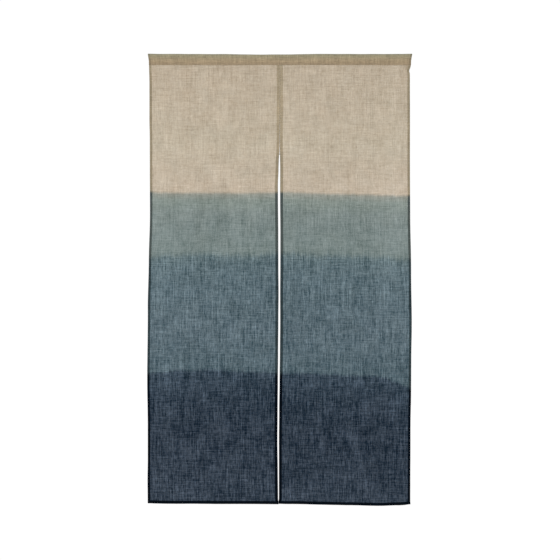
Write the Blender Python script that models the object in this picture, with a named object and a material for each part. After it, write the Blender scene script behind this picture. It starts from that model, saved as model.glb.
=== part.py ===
"""A noren: two dip-dyed linen panels hanging from one folded heading strip.

Metres, +Z up, front towards -Y. The origin is the middle of the top edge, on the line the heading hangs
from. A drop is a distance below that line.
"""

import math
from collections import namedtuple

import bmesh
import bpy

# Heading strip: a folded band with an open rod pocket
HEADING_HEIGHT = 0.0375
HEADING_WALL = 0.0011
POCKET_RADIUS = 0.0070  # outside, round the top of the pocket
STITCH_DROP = 0.029  # where the pocket ends and both layers are sewn to the panels
HEADING_REACH = {-1: 0.4366, 1: 0.4366}  # from the centre line to each end, below the corners
CORNER_FLARE = {-1: 0.0036, 1: 0.0040}  # how much further the top corners reach
FLARE_HEIGHT = 0.028
HEADING_STATIONS = 28
LEG_STEPS = 2  # rows of the section down the sewn layers, then down the pocket's sides and round its top
SIDE_STEPS = 5
ARC_STEPS = 4
Ripple = namedtuple("Ripple", "amplitude length phase")
FULLNESS = (Ripple(0.06, 0.57, 0.6), Ripple(0.04, 0.23, 0.0))  # the pocket is fuller in some places

# Cloth of the panels
SHEET = 0.0010
HEM_SHEET = 0.0021  # thickness where the hem is turned to the back
OUTER_HEM = 0.008
SLIT_HEM = 0.0095
BOTTOM_HEM = 0.010
HEM_STEP = 0.0008  # half the width of the step down from a hem to the single cloth
TONGUE_TOP = 0.0290  # the panels' tops, up between the heading's layers
TONGUE_END = 0.0390  # below this the hems have their full thickness
HEM_START = 0.0460
SEWN_GAP = 0.0003

COLUMNS = 17  # cells across a panel between its hems
ROWS = 35  # cells down a panel between its top and its bottom hem

# Outline of the curtain, as it hangs
Edge = namedtuple("Edge", "drop reach")  # reach is the distance from the centre line
OUTER_EDGE = {
    -1: (
        Edge(0.029, 0.4364),
        Edge(0.100, 0.4348),
        Edge(0.215, 0.4346),
        Edge(0.290, 0.4331),
        Edge(0.530, 0.4328),
        Edge(0.690, 0.4363),
        Edge(0.850, 0.4395),
        Edge(1.080, 0.4420),
        Edge(1.250, 0.4396),
        Edge(1.340, 0.4398),
        Edge(1.440, 0.4416),
    ),
    1: (
        Edge(0.038, 0.4361),
        Edge(0.058, 0.4306),
        Edge(0.066, 0.4328),
        Edge(0.530, 0.4331),
        Edge(0.727, 0.4366),
        Edge(0.887, 0.4386),
        Edge(1.020, 0.4367),
        Edge(1.130, 0.4366),
        Edge(1.250, 0.4346),
        Edge(1.488, 0.4333),
        Edge(1.504, 0.4346),
    ),
}

Slit = namedtuple("Slit", "drop middle gap")
SLIT = (
    Slit(0.029, 0.0000, SEWN_GAP),
    Slit(0.334, -0.0012, SEWN_GAP),  # the centre seam ends here
    Slit(0.341, -0.0015, 0.0022),
    Slit(0.352, -0.0018, 0.0034),
    Slit(0.385, -0.0021, 0.0046),
    Slit(0.437, -0.0031, 0.0061),
    Slit(0.490, -0.0030, 0.0066),
    Slit(0.600, -0.0021, 0.0070),
    Slit(0.705, -0.0021, 0.0067),
    Slit(0.790, -0.0020, 0.0060),
    Slit(0.890, -0.0023, 0.0068),
    Slit(0.990, -0.0031, 0.0064),
    Slit(1.090, -0.0041, 0.0063),
    Slit(1.190, -0.0052, 0.0058),
    Slit(1.290, -0.0060, 0.0060),
    Slit(1.390, -0.0053, 0.0040),
    Slit(1.480, -0.0049, 0.0031),
    Slit(1.500, -0.0049, 0.0007),
)

Level = namedtuple("Level", "x drop")
BOTTOM_EDGE = (
    Level(-0.437, 1.4996),
    Level(-0.331, 1.4986),
    Level(-0.198, 1.5011),
    Level(-0.065, 1.4990),
    Level(0.035, 1.5010),
    Level(0.135, 1.5026),
    Level(0.235, 1.5030),
    Level(0.335, 1.5065),
    Level(0.388, 1.5043),
    Level(0.435, 1.4999),
)
TOP_SAG = (
    Level(-0.440, 0.0000),
    Level(-0.400, 0.0006),
    Level(-0.200, 0.0010),
    Level(-0.080, 0.0028),
    Level(0.030, 0.0021),
    Level(0.120, 0.0008),
    Level(0.400, 0.0009),
    Level(0.440, 0.0000),
)

# Soft folds, each a trough towards the back, or a ridge towards the front where its depth is negative
Fold = namedtuple("Fold", "x_top x_bottom top bottom half_width depth")
FOLDS = {
    -1: (
        Fold(-0.350, -0.368, 0.30, 2.10, 0.095, -0.0070),
        Fold(-0.225, -0.190, 0.16, 2.10, 0.105, 0.0080),
        Fold(-0.085, -0.060, 0.46, 2.10, 0.080, -0.0065),
        Fold(-0.330, -0.300, 0.05, 0.42, 0.070, 0.0030),
        Fold(-0.112, -0.012, 1.20, 1.46, 0.038, 0.0032),
    ),
    1: (
        Fold(0.318, 0.326, 0.05, 0.34, 0.045, 0.0042),
        Fold(0.385, 0.389, 0.05, 0.32, 0.034, -0.0032),
        Fold(0.098, 0.078, 0.42, 2.10, 0.085, 0.0068),
        Fold(0.228, 0.256, 0.24, 2.10, 0.100, -0.0078),
        Fold(0.372, 0.358, 0.50, 2.10, 0.080, 0.0070),
        Fold(0.236, 0.318, 0.90, 1.02, 0.040, 0.0024),
    ),
}
FOLD_EASE = 0.3  # share of a fold's length over which it grows, and dies away
BILLOW = -0.006  # the whole curtain stands forward by this at half height
BILLOW_LENGTH = 1.56

# The hemmed edges wave by themselves
Wave = namedtuple("Wave", "start amplitude length phase")
OUTER_WAVE = {-1: Wave(0.06, 0.0034, 0.47, 0.4), 1: Wave(0.06, 0.0032, 0.41, 2.3)}
SLIT_WAVE = {-1: Wave(0.36, 0.0036, 0.53, 1.0), 1: Wave(0.36, 0.0034, 0.62, 3.6)}
WAVE_REACH = 0.055
WAVE_GROWTH = 0.30

Curl = namedtuple("Curl", "x drop radius depth")
CURLS = {
    -1: (Curl(-0.440, 1.50, 0.130, 0.0100), Curl(-0.005, 1.50, 0.100, -0.0050)),
    1: (Curl(-0.003, 1.50, 0.090, 0.0060), Curl(0.435, 1.505, 0.140, -0.0080)),
}
FLAT_TOP = 0.040  # the cloth is flat down to the heading's lower edge
FLAT_EASE = 0.12

NATURAL_LINEN = (0.352, 0.288, 0.191, 1.0)
DYED_LINEN = (0.107, 0.151, 0.174, 1.0)
LINEN_ROUGHNESS = 0.9


def ease(share):
    """0 to 1 with level ends, for a share of the way that is cut to 0 and 1."""
    share = min(max(share, 0.0), 1.0)
    return share * share * (3.0 - 2.0 * share)


def steps(start, end, count):
    """Even values from start, up to but not at end."""
    return [start + (end - start) * i / count for i in range(count)]


def follow(rows, at, column=1):
    """A column's value at a place in a table whose first column is the place, eased between its rows."""
    if at <= rows[0][0]:
        return rows[0][column]
    for low, high in zip(rows, rows[1:]):
        if at <= high[0]:
            share = ease((at - low[0]) / (high[0] - low[0]))
            return low[column] + (high[column] - low[column]) * share
    return rows[-1][column]


def fold_depth(side, x, drop):
    """Sum of the panel's soft folds: a raised cosine across each one, eased along its length."""
    depth = 0.0
    for fold in FOLDS[side]:
        along = (drop - fold.top) / (fold.bottom - fold.top)
        across = (x - fold.x_top - (fold.x_bottom - fold.x_top) * along) / fold.half_width
        if abs(across) < 1.0:
            strength = ease(along / FOLD_EASE) * ease((1.0 - along) / FOLD_EASE)
            depth += fold.depth * strength * (1.0 + math.cos(math.pi * across)) / 2.0
    return depth


def wave_depth(wave, distance, drop):
    """A hemmed edge's own wave, which dies away into the cloth."""
    growth = ease((drop - wave.start) / WAVE_GROWTH)
    swing = math.sin(2.0 * math.pi * drop / wave.length + wave.phase)
    return wave.amplitude * growth * swing * math.exp(-distance / WAVE_REACH)


def curl_depth(side, x, drop):
    """The bottom corners turn softly to the back or the front."""
    depth = 0.0
    for curl in CURLS[side]:
        distance = math.hypot(x - curl.x, drop - curl.drop)
        depth += curl.depth * ease(1.0 - distance / curl.radius)
    return depth


def outer_x(side, drop):
    return side * follow(OUTER_EDGE[side], drop)


def slit_x(side, drop):
    return follow(SLIT, drop, 1) + side * follow(SLIT, drop, 2) / 2.0


def cloth_depth(side, x, drop):
    """How far the middle of the cloth lies behind the heading's plane."""
    depth = BILLOW * math.sin(math.pi * drop / BILLOW_LENGTH)
    depth += fold_depth(side, x, drop) + curl_depth(side, x, drop)
    depth += wave_depth(OUTER_WAVE[side], abs(x - outer_x(side, drop)), drop)
    depth += wave_depth(SLIT_WAVE[side], abs(x - slit_x(side, drop)), drop)
    return depth * ease((drop - FLAT_TOP) / FLAT_EASE)


def linen(name, colour):
    material = bpy.data.materials.new(name)
    material.use_nodes = True
    shader = material.node_tree.nodes["Principled BSDF"]
    shader.inputs["Base Color"].default_value = colour
    shader.inputs["Roughness"].default_value = LINEN_ROUGHNESS
    shader.inputs["Metallic"].default_value = 0.0
    material.diffuse_color = colour
    return material


def add_object(name, mesh, material):
    mesh.materials.append(material)
    mesh.shade_smooth()
    obj = bpy.data.objects.new(name, mesh)
    bpy.context.scene.collection.objects.link(obj)
    return obj


def column_places(width, first_hem, last_hem):
    """Distances of a panel's columns from its left edge: both edges, both sides of each hem's step, and even
    cells between."""
    start, end = first_hem + HEM_STEP, width - last_hem - HEM_STEP
    inner = steps(start, end, COLUMNS)
    return [0.0, first_hem - HEM_STEP, *inner, end, width - last_hem + HEM_STEP, width]


def row_places(bottom):
    """Drops of a panel's rows, from the top of its tongue to its bottom edge."""
    end = bottom - BOTTOM_HEM - HEM_STEP
    inner = steps(HEM_START, end, ROWS)
    return [TONGUE_TOP, TONGUE_END, *inner, end, bottom - BOTTOM_HEM + HEM_STEP, bottom]


def build_panel(name, side, material):
    """One hemmed length of cloth: a grid fitted to the outline and folds, thickened to the back, where the
    hems are twice as thick."""
    hems = (OUTER_HEM, SLIT_HEM) if side < 0 else (SLIT_HEM, OUTER_HEM)
    across, down = COLUMNS + 4, ROWS + 4
    grid = bmesh.new()
    bmesh.ops.create_grid(grid, x_segments=across, y_segments=down, size=1.0)
    hem_layer = grid.verts.layers.deform.verify()
    for vertex in grid.verts:
        column = round((vertex.co.x + 1.0) / 2.0 * across)
        row = round((1.0 - vertex.co.y) / 2.0 * down)
        drop = row_places(BOTTOM_EDGE[0].drop)[row]
        for _ in range(2):  # the bottom edge is uneven, so a point's drop depends on its place across
            edges = sorted((outer_x(side, drop), slit_x(side, drop)))
            x = edges[0] + column_places(edges[1] - edges[0], *hems)[column]
            drop = row_places(follow(BOTTOM_EDGE, x))[row]
        in_side_hem = column < 2 or column > across - 2
        in_hem = row > 1 and (in_side_hem or row > down - 2)
        vertex[hem_layer][0] = 1.0 if in_hem else 0.0
        vertex.co = (x, cloth_depth(side, x, drop) - SHEET / 2.0, -drop)
    mesh = bpy.data.meshes.new(name)
    grid.to_mesh(mesh)
    grid.free()

    panel = add_object(name, mesh, material)
    panel.vertex_groups.new(name="hem")
    thicken = panel.modifiers.new("Cloth", "SOLIDIFY")
    thicken.thickness = HEM_SHEET
    thicken.offset = -1.0
    thicken.vertex_group = "hem"
    thicken.thickness_vertex_group = SHEET / HEM_SHEET
    return panel


def pocket_share(drop):
    """0 where the two layers are sewn together, rising to 1 at the pocket's widest."""
    return ease((STITCH_DROP - drop) / (STITCH_DROP - POCKET_RADIUS))


def half_section(wall):
    """The strip's front layer as (drop, depth) from its lower edge to the top of the pocket: a flat leg, a
    swelling side and a quarter circle, moved inwards by wall."""
    leg = SHEET / 2.0 + SEWN_GAP + HEADING_WALL
    section = []
    sides = steps(HEADING_HEIGHT, STITCH_DROP, LEG_STEPS) + steps(STITCH_DROP, POCKET_RADIUS, SIDE_STEPS)
    for drop in sides:
        half = leg + (POCKET_RADIUS - leg) * pocket_share(drop)
        section.append((drop, wall - half))
    radius = POCKET_RADIUS - wall
    for step in range(ARC_STEPS + 1):
        turn = math.pi / 2.0 * (1.0 - step / ARC_STEPS)
        section.append((POCKET_RADIUS - radius * math.cos(turn), -radius * math.sin(turn)))
    return section


def both_sides(section):
    """The front layer followed by its mirror image at the back."""
    return section + [(drop, -depth) for drop, depth in reversed(section[:-1])]


def heading_point(share, drop, depth):
    """A point of the strip, share running from -1 at its left end to 1 at its right end."""
    side = -1 if share < 0.0 else 1
    flare = max(0.0, 1.0 - drop / FLARE_HEIGHT) ** 1.5
    x = share * (HEADING_REACH[side] + CORNER_FLARE[side] * flare)
    fuller = sum(r.amplitude * math.sin(2.0 * math.pi * x / r.length + r.phase) for r in FULLNESS)
    sag = follow(TOP_SAG, x) * (1.0 - drop / HEADING_HEIGHT)  # the lower edge is straight
    return x, depth * (1.0 + fuller * pocket_share(drop)), -drop - sag


def build_heading(material):
    """The folded strip: its section carried along the top edge, open below and at both ends."""
    outside = both_sides(half_section(0.0))
    ring = outside + both_sides(half_section(HEADING_WALL))[::-1]

    strip = bmesh.new()
    shares = [*steps(-1.0, 1.0, HEADING_STATIONS), 1.0]
    loops = [[strip.verts.new(heading_point(share, *point)) for point in ring] for share in shares]
    count = len(ring)
    for this, following in zip(loops, loops[1:]):
        for i in range(count):
            j = (i + 1) % count
            strip.faces.new((this[i], following[i], following[j], this[j]))
    for loop in (loops[0], loops[-1]):  # the cut ends of both layers
        for i in range(len(outside) - 1):
            strip.faces.new((loop[i], loop[i + 1], loop[count - 2 - i], loop[count - 1 - i]))
    bmesh.ops.recalc_face_normals(strip, faces=strip.faces)
    mesh = bpy.data.meshes.new("heading")
    strip.to_mesh(mesh)
    strip.free()
    return add_object("heading", mesh, material)


def main():
    for obj in list(bpy.data.objects):
        bpy.data.objects.remove(obj, do_unlink=True)
    curtain = bpy.data.objects.new("noren", None)
    bpy.context.scene.collection.objects.link(curtain)
    pieces = [
        build_heading(linen("natural_linen", NATURAL_LINEN)),
        build_panel("panel_left", -1, linen("dyed_linen_left", DYED_LINEN)),
        build_panel("panel_right", 1, linen("dyed_linen_right", DYED_LINEN)),
    ]
    for piece in pieces:
        piece.parent = curtain


main()
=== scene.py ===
import math

import bpy
import numpy as np
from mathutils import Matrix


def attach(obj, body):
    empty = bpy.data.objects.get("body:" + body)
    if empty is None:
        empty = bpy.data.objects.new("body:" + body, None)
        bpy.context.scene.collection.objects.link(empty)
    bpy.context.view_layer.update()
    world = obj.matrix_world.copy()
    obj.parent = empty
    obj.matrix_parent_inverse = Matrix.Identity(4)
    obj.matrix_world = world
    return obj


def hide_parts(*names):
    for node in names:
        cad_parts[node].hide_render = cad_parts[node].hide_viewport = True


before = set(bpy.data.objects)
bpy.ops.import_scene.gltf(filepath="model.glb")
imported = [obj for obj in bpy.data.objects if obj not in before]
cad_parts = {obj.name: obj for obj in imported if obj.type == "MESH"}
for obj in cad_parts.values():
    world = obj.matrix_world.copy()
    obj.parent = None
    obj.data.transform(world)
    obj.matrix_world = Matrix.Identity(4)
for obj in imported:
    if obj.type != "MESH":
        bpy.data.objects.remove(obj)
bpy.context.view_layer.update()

mm = 0.001

# Noren of two dip-dyed linen panels under a folded heading strip.
# x runs to the right, y to the back, and a drop is a distance below the line the curtain hangs from.
curtain = dict(
    # drop, distance from the centre line
    leftEdge=[
        (29, 436.4), (100, 434.8), (215, 434.6), (290, 433.1), (530, 432.8), (690, 436.3),
        (850, 439.5), (1080, 442.0), (1250, 439.6), (1340, 439.8), (1440, 441.6),
    ],
    rightEdge=[
        (38, 436.1), (58, 430.6), (66, 432.8), (530, 433.1), (727, 436.6), (887, 438.6),
        (1020, 436.7), (1130, 436.6), (1250, 434.6), (1488, 433.3), (1504, 434.6),
    ],
    # drop, middle of the slit, gap between the panels
    slit=[
        (29, 0.0, 0.45), (200, -0.6, 0.5), (290, -1.0, 0.8), (325, -1.2, 1.5), (341, -1.5, 3.4),
        (352, -1.8, 4.3), (385, -2.1, 5.6), (437, -3.1, 7.4), (490, -3.0, 7.3), (600, -2.1, 7.2),
        (705, -2.1, 6.7), (800, -2.0, 5.3), (890, -2.3, 6.4), (990, -3.1, 6.4), (1090, -4.1, 5.9),
        (1190, -5.2, 5.4), (1290, -6.0, 5.4), (1390, -5.3, 4.1), (1478, -4.9, 3.2), (1484, -4.9, 2.9),
        (1492.5, -4.9, 0.45), (1500, -4.9, 0.45),
    ],
    seamEnd=335,
    # x, drop
    bottomEdge=[
        (-437, 1499.6), (-331, 1498.6), (-198, 1501.1), (-65, 1499.0), (35, 1501.0),
        (135, 1502.6), (235, 1503.0), (335, 1506.5), (388, 1504.3), (435, 1499.9),
    ],
    topSag=[
        (-440, 0.0), (-400, 0.6), (-200, 1.0), (-80, 2.8), (30, 2.1), (120, 0.8), (400, 0.9), (440, 0.0),
    ],
    # x and drop at the top, x and drop at the bottom, half width, depth to the back
    folds={
        -1: [
            (-350, 300, -368, 2100, 95, -7.0), (-225, 160, -190, 2100, 105, 8.0),
            (-85, 460, -60, 2100, 80, -6.5), (-330, 50, -300, 420, 70, 3.0),
            (-112, 1200, -12, 1460, 38, 3.2),
        ],
        1: [
            (318, 50, 326, 340, 45, 4.2), (385, 50, 389, 320, 34, -3.2), (98, 420, 78, 2100, 85, 6.8),
            (228, 240, 256, 2100, 100, -7.8), (372, 500, 358, 2100, 80, 7.0),
            (236, 900, 318, 1020, 40, 2.4),
        ],
    },
    foldEase=0.3,
    billow=-6.0,
    billowLength=1560,
    # start, amplitude, length, phase of each hemmed edge's own wave
    outerWave={-1: (60, 3.4, 470, 0.4), 1: (60, 3.2, 410, 2.3)},
    slitWave={-1: (360, 3.6, 530, 1.0), 1: (360, 3.4, 620, 3.6)},
    waveReach=55,
    waveGrowth=300,
    # x, drop, radius, depth of each bottom corner's curl
    curls={
        -1: [(-440, 1500, 130, 10.0), (-5, 1500, 100, -5.0)],
        1: [(-3, 1500, 90, 6.0), (435, 1505, 140, -8.0)],
    },
    flatTop=40,
    flatEase=120,
)

# Creases too fine for the solids: ends as x and drop, half width, depth to the back.
creases = {
    -1: [
        (-100, 1247, -24, 1396, 9, 1.5), (-256, 1433, -190, 1437, 6, 1.1), (-52, 70, -14, 205, 11, 0.8),
        (-410, 62, -372, 150, 12, 0.7), (-310, 905, -292, 1010, 10, 0.8), (-160, 640, -148, 760, 11, 0.7),
        (-396, 1330, -352, 1388, 9, 0.9), (-214, 1210, -228, 1300, 12, -0.8),
    ],
    1: [
        (243, 937, 312, 981, 8, 1.3), (16, 64, 58, 190, 11, 0.8), (352, 66, 362, 250, 9, -0.9),
        (398, 60, 410, 128, 7, 1.0), (120, 610, 138, 735, 12, 0.7), (60, 1302, 96, 1376, 9, 0.9),
        (330, 1352, 386, 1392, 9, 1.0), (196, 1180, 184, 1285, 12, -0.8),
    ],
}


# Rows of a table given in millimetres, as metres.
def metres(rows):
    return np.array(rows, dtype=float) * mm


# Cubic from 0 to 1 that is level at both ends.
def ease(share):
    share = np.clip(share, 0.0, 1.0)
    return share * share * (3.0 - 2.0 * share)


# Value of a table's column at a place, eased between the two rows that the place lies between.
def follow(rows, at, column=1):
    table = metres(rows)
    at = np.asarray(at, dtype=float)
    low = np.clip(np.searchsorted(table[:, 0], at, side="right") - 1, 0, len(table) - 2)
    start, end = table[low], table[low + 1]
    share = ease((at - start[..., 0]) / (end[..., 0] - start[..., 0]))
    return start[..., column] + (end[..., column] - start[..., column]) * share


def outerX(side, drop):
    return side * follow(curtain["leftEdge" if side < 0 else "rightEdge"], drop)


def slitX(side, drop):
    return follow(curtain["slit"], drop, 1) + side * follow(curtain["slit"], drop, 2) / 2


# Depth of the solids' folds: raised cosines across each fold, eased along it, plus the whole curtain's
# billow as half a sine wave, the edges' own sine waves that die away inwards, and the corners' curls.
def foldDepth(side, x, drop):
    depth = curtain["billow"] * mm * np.sin(np.pi * drop / (curtain["billowLength"] * mm))
    for row in curtain["folds"][side]:
        xTop, top, xBottom, bottom, halfWidth, high = metres(row)
        along = (drop - top) / (bottom - top)
        across = np.clip((x - xTop - (xBottom - xTop) * along) / halfWidth, -1, 1)
        strength = ease(along / curtain["foldEase"]) * ease((1 - along) / curtain["foldEase"])
        depth = depth + high * strength * (1 + np.cos(np.pi * across)) / 2
    for (start, amplitude, length, phase), edge in (
        (curtain["outerWave"][side], outerX(side, drop)),
        (curtain["slitWave"][side], slitX(side, drop)),
    ):
        growth = ease((drop - start * mm) / (curtain["waveGrowth"] * mm))
        swing = np.sin(2 * np.pi * drop / (length * mm) + phase)
        fading = np.exp(-np.abs(x - edge) / (curtain["waveReach"] * mm))
        depth = depth + amplitude * mm * growth * swing * fading
    for row in curtain["curls"][side]:
        curlX, curlDrop, radius, high = metres(row)
        depth = depth + high * ease(1 - np.hypot(x - curlX, drop - curlDrop) / radius)
    return depth * ease((drop - curtain["flatTop"] * mm) / (curtain["flatEase"] * mm))


creaseLook = dict(
    bow=0.048,  # how far a crease bends off its straight line, as a share of its length
    fade=0.35,  # share of its length over which it dies away at each end
)


# Height of the creases: a bell across each segment, which is bowed by half a sine wave, eased to nothing at
# both ends.
def creaseDepth(side, x, drop):
    depth = np.zeros_like(x)
    for row in creases[side]:
        x1, drop1, x2, drop2, halfWidth, high = metres(row)
        length = math.hypot(x2 - x1, drop2 - drop1)
        along = ((x - x1) * (x2 - x1) + (drop - drop1) * (drop2 - drop1)) / length**2
        across = ((x - x1) * (drop2 - drop1) - (drop - drop1) * (x2 - x1)) / length
        bend = creaseLook["bow"] * length * np.sin(np.pi * np.clip(along, 0, 1))
        bell = np.exp(-(((across - bend) / halfWidth) ** 2))
        fade = ease(along / creaseLook["fade"]) * ease((1 - along) / creaseLook["fade"])
        depth = depth + high * bell * fade
    return depth


pucker = dict(
    hem=0.32,  # millimetres, along the stitched hems
    hemReach=11,
    hemWaves=(3.9, 6.3),  # one radian of each wave, in millimetres
    swellLength=51,
    heading=0.55,  # below the heading's stitches
    headingReach=48,
    headingWaves=(5.8, 9.1, 21.0),
    loose=0.19,  # slight unevenness all over
    looseWaves=[(71, 23, 0.2), (-38, 61, 1.4), (97, -44, 3.3), (52, 88, 5.0), (-120, 31, 2.2)],
    ease=30,
)


# Small ripples: two crossed sine waves along each stitched edge that die away from it, and a sum of long
# slanting sine waves all over.
def puckerDepth(side, x, drop):
    fromOuter, fromSlit = np.abs(x - outerX(side, drop)), np.abs(x - slitX(side, drop))
    fromBottom = np.abs(follow(curtain["bottomEdge"], x) - drop)
    reach = pucker["hemReach"] * mm
    short, long = metres(pucker["hemWaves"])
    fine, middling, broad = metres(pucker["headingWaves"])
    depth = np.zeros_like(x)
    for distance, along, shift in (
        (fromOuter, drop, 0.3 + side), (fromSlit, drop, 2.1 + side), (fromBottom, x, 4.0),
    ):
        ripple = np.sin(along / short + shift) + 0.7 * np.sin(along / long + 2 * shift)
        swell = 0.6 + 0.4 * np.sin(along / (pucker["swellLength"] * mm) + 3 * shift)
        depth = depth + pucker["hem"] * mm * ripple * swell * np.exp(-((distance / reach) ** 2))
    gather = np.sin(x / fine + 0.5) + 0.8 * np.sin(x / middling) + 0.5 * np.sin(x / broad + 2)
    below = np.clip(drop - curtain["flatTop"] * mm, 0, None) / (pucker["headingReach"] * mm)
    depth = depth + pucker["heading"] * mm * gather * below * np.exp(-2.2 * below)
    for acrossTurn, downTurn, phase in pucker["looseWaves"]:
        depth = depth + pucker["loose"] * mm * np.sin(acrossTurn * x + downTurn * drop + phase + side)
    return depth * ease((drop - curtain["flatTop"] * mm) / (pucker["ease"] * mm))


def clothDepth(side, x, drop):
    return foldDepth(side, x, drop) + creaseDepth(side, x, drop) + puckerDepth(side, x, drop)


clothLook = dict(
    thickness=0.40,
    outerHem=8.0,
    slitHem=9.5,
    bottomHem=10.0,
    turn=0.55,  # radius of a hem's outer turn, and of its tucked edge
    tuckTurn=0.275,
    cornerTurn=2.1,  # the same where the bottom hem goes over a side hem
    cornerTuckTurn=1.3,
    cornerEase=12,
    flatWidth=434,  # of a panel between its side folds, and down to its bottom fold
    flatDrop=1500,
    flatShift={-1: 0.0, 1: 1.0},  # metres that keep the panels' weaves apart
    tongueTop=29,
    frontLayer=-0.2,  # the panel's front layer from the heading's plane
    columns=92,
    rows=330,
)


# A hem turned twice to the back, as rows from the cloth's front layer to its tucked raw edge: a half circle
# of radius turn, a run inwards, a half circle of radius tuckTurn the other way, and a run back outwards.
# Gives the distance in from the edge, the distance behind, the normal of both and the length so far.
def hemPath(width, turn, tuckTurn):
    angle = np.linspace(0, np.pi, 6)[:, None]
    share = np.linspace(0, 1, 4)[:, None]
    inner = width - tuckTurn
    runIn, runOut = inner - turn, inner - 2.2 * turn
    pieces = [
        (turn * (1 - np.sin(angle)), turn * (1 - np.cos(angle)), np.sin(angle), np.cos(angle), turn * angle),
        (turn + runIn * share, 2 * turn + 0 * share, 0 * share, -1 + 0 * share, runIn * share),
        (
            inner + tuckTurn * np.sin(angle), 2 * turn - tuckTurn * (1 - np.cos(angle)),
            -np.sin(angle), -np.cos(angle), tuckTurn * angle,
        ),
        (inner - runOut * share, 2 * (turn - tuckTurn) + 0 * share, 0 * share, 1 + 0 * share, runOut * share),
    ]
    rows, length = [], 0.0
    for k, piece in enumerate(pieces):
        piece = [np.broadcast_to(part, (len(piece[0]), np.size(turn))) for part in piece]
        flat = piece[4] + length
        length = flat[-1]
        rows.append(np.stack([*piece[:4], flat])[:, (k > 0) :])
    return np.concatenate(rows, axis=1)


def placeObject(name, data):
    placed = bpy.data.objects.new(name, data)
    bpy.context.scene.collection.objects.link(placed)
    return placed


def addPiece(name, mesh):
    addDye(mesh)
    mesh.shade_smooth()
    return placeObject(name, mesh)


# A mesh from a grid of points: one quad for each cell of the grid that is kept.
def gridMesh(name, points, flat, kept=None, slots=None):
    down, across = points.shape[:2]
    index = np.arange(down * across).reshape(down, across)
    quads = np.stack([index[:-1, :-1], index[1:, :-1], index[1:, 1:], index[:-1, 1:]], axis=-1)
    kept = np.ones(quads.shape[:2], bool) if kept is None else kept
    slots = np.zeros(quads.shape[:2], int) if slots is None else slots
    quads, slots = quads[kept], slots[kept]
    used, quads = np.unique(quads, return_inverse=True)
    quads = quads.reshape(-1, 4)
    mesh = bpy.data.meshes.new(name)
    mesh.from_pydata(points.reshape(-1, 3)[used].tolist(), [], quads.tolist())
    mesh.polygons.foreach_set("material_index", slots.astype(np.int32))
    layer = mesh.uv_layers.new(name="flatCloth")
    layer.uv.foreach_set("vector", flat.reshape(-1, 2)[used][quads.ravel()].astype(np.float32).ravel())
    return addPiece(name, mesh)


dye = dict(
    # x, drop of each border between two dips
    borders=[
        [
            (-440, 458), (-395, 462), (-300, 463), (-53, 463), (27, 461.5), (147, 466), (270, 469),
            (367, 472), (435, 472),
        ],
        [(-440, 677), (-380, 672), (-280, 668), (-120, 670), (27, 666), (180, 673), (330, 677), (435, 687)],
        [
            (-440, 1066), (-380, 1060), (-330, 1052), (-167, 1055), (-90, 1060), (27, 1066), (90, 1063.5),
            (167, 1067), (270, 1072), (347, 1077), (387, 1096), (435, 1114),
        ],
    ],
    # x, drop, half width, half height of each patch, and how much paler it is: patches that took the dye
    # unevenly, and at the end two of painted shade
    patches=[
        (-400, 430, 40, 170, 0.35), (385, 250, 32, 220, 0.35), (40, 230, 25, 180, 0.28),
        (-400, 754, 48, 330, 0.34), (-310, 830, 60, 75, 0.32), (-375, 640, 62, 60, 0.42),
        (378, 590, 45, 200, 0.80), (330, 610, 32, 45, 0.50), (340, 800, 62, 65, 0.28),
        (-120, 850, 70, 60, -0.22), (60, 870, 60, 90, -0.20), (-400, 1250, 48, 260, 0.38),
        (-350, 1207, 36, 45, 0.40), (-320, 1100, 130, 34, 0.20), (-300, 1400, 110, 55, 0.34),
        (110, 1080, 75, 65, -0.30), (60, 1345, 80, 62, -0.24), (255, 1330, 46, 95, 0.34),
        (370, 1185, 42, 45, 0.24), (385, 1390, 50, 60, -0.22),
        (422, 42, 9, 12, -2.6), (406, 62, 9, 26, -0.8),  # painted shade of the cloth gathered under the heading's right end
    ],
    seamReach=16,  # from the centre line
    seamEdge=4,
    seamFade=20,
    seamPast=6,  # how far the seam's painted light goes on below the seam's end
)


# Keeps three things in the mesh for the dye's colours: the distance of each vertex below the three borders,
# how much paler it is, as a sum of bells, and whether it is in the seam, where the hems get painted light
# from behind.
def addDye(mesh):
    points = np.empty(len(mesh.vertices) * 3, np.float32)
    mesh.vertices.foreach_get("co", points)
    x, _, z = points.reshape(-1, 3).T.astype(float)
    below = np.stack([-z - follow(rows, x) for rows in dye["borders"]], axis=-1)
    layer = mesh.attributes.new("belowBorder", "FLOAT_VECTOR", "POINT")
    layer.data.foreach_set("vector", below.astype(np.float32).ravel())
    # Paler holds the dye's uneven patches and the painted shade under the heading's right end.
    paler = np.zeros_like(x)
    for row in dye["patches"]:
        patchX, patchDrop, halfWidth, halfHeight = metres(row[:4])
        paler += row[4] * np.exp(-(((x - patchX) / halfWidth) ** 2) - ((-z - patchDrop) / halfHeight) ** 2)
    # The seam, where the hems get painted light from behind.
    nearSeam = ease((dye["seamReach"] * mm - np.abs(x)) / (dye["seamEdge"] * mm))
    inSeam = nearSeam * ease((z + (curtain["seamEnd"] + dye["seamPast"]) * mm) / (dye["seamFade"] * mm))
    for name, values in (("paler", paler), ("inSeam", inSeam)):
        layer = mesh.attributes.new(name, "FLOAT", "POINT")
        layer.data.foreach_set("value", values.astype(np.float32))


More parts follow.
